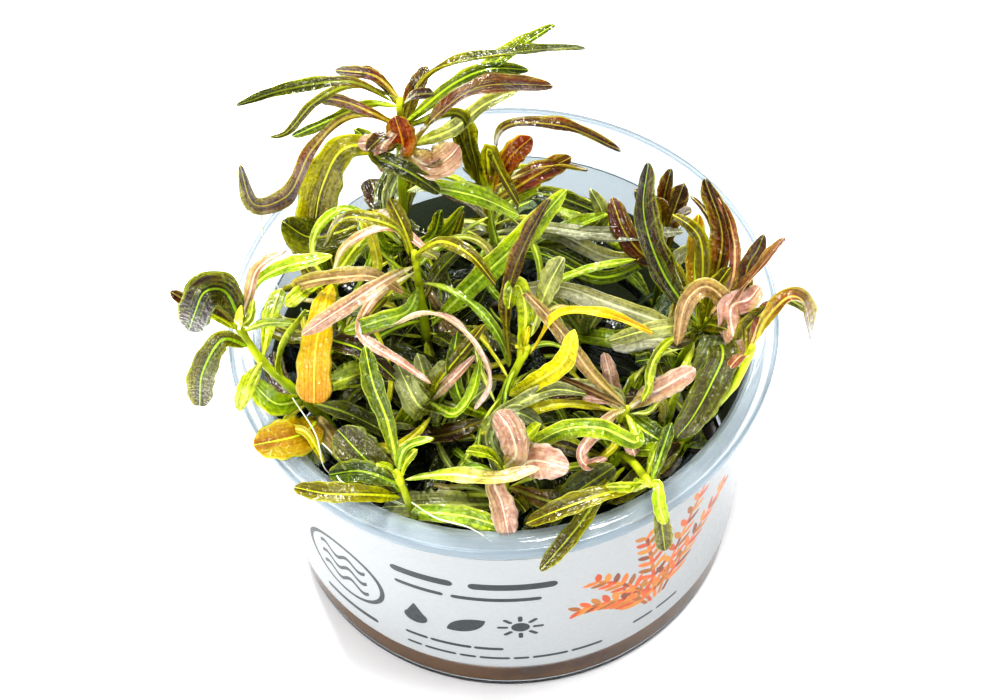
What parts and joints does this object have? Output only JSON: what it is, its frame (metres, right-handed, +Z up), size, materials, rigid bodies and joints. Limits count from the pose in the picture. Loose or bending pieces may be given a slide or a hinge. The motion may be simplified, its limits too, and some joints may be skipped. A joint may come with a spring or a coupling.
{
  "type": "in vitro aquarium plant in a clear cup",
  "caption": "In vitro hygrophila: long lance-shaped olive, green and red-brown leaves crowding out of a clear round cup with a printed band and brown gel.",
  "frame": {"origin": "centre of the cup's flat underside", "axes": "+Z up along the cup's axis; +Y away from the side that carries the front of the printed band; +X to that viewer's right"},
  "size_m": [0.1105, 0.1035, 0.1119],
  "materials": {
    "clear_plastic": "clear, glossy, thermoformed",
    "printed_band": null,
    "gel": "brown, wet, smooth set gel",
    "leaf": "soft wet leaf, olive to red-brown, lighter midrib",
    "stem": "smooth wet green stem"
  },
  "bodies": {
    "root": {"cup": "clear_plastic", "growth_gel": "gel", "label": "printed_band", "leaf_back_1": "leaf", "leaf_back_2": "leaf", "leaf_back_3": "leaf", "leaf_back_4": "leaf", "leaf_back_left_1": "leaf", "leaf_back_left_2": "leaf", "leaf_back_left_3": "leaf", "leaf_back_left_4": "leaf", "leaf_back_left_5": "leaf", "leaf_back_left_6": "leaf", "leaf_back_left_7": "leaf", "leaf_centre_1": "leaf", "leaf_centre_2": "leaf", "leaf_centre_3": "leaf", "leaf_centre_4": "leaf", "leaf_centre_left_1": "leaf", "leaf_centre_left_2": "leaf", "leaf_centre_left_3": "leaf", "leaf_front_1": "leaf", "leaf_front_inner_1": "leaf", "leaf_front_left_1": "leaf", "leaf_front_left_2": "leaf", "leaf_front_left_3": "leaf", "leaf_front_left_4": "leaf", "leaf_front_right_1": "leaf", "leaf_front_right_2": "leaf", "leaf_front_right_3": "leaf", "leaf_left_1": "leaf", "leaf_left_2": "leaf", "leaf_left_3": "leaf", "leaf_left_4": "leaf", "leaf_left_5": "leaf", "leaf_left_6": "leaf", "leaf_mid_left_1": "leaf", "leaf_mid_left_2": "leaf", "leaf_right_1": "leaf", "leaf_right_inner_1": "leaf", "leaf_right_inner_2": "leaf", "leaf_right_inner_3": "leaf", "leaf_right_inner_4": "leaf", "leaf_right_inner_5": "leaf", "stem_back": "stem", "stem_back_left": "stem", "stem_centre": "stem", "stem_centre_left": "stem", "stem_front": "stem", "stem_front_inner": "stem", "stem_front_left": "stem", "stem_front_right": "stem", "stem_left": "stem", "stem_mid_left": "stem", "stem_right": "stem", "stem_right_inner": "stem", "young_shoot_back_left": "stem", "young_shoot_back_right": "stem", "young_shoot_front_left": "stem", "young_shoot_right": "stem"}
  },
  "joints": []
}
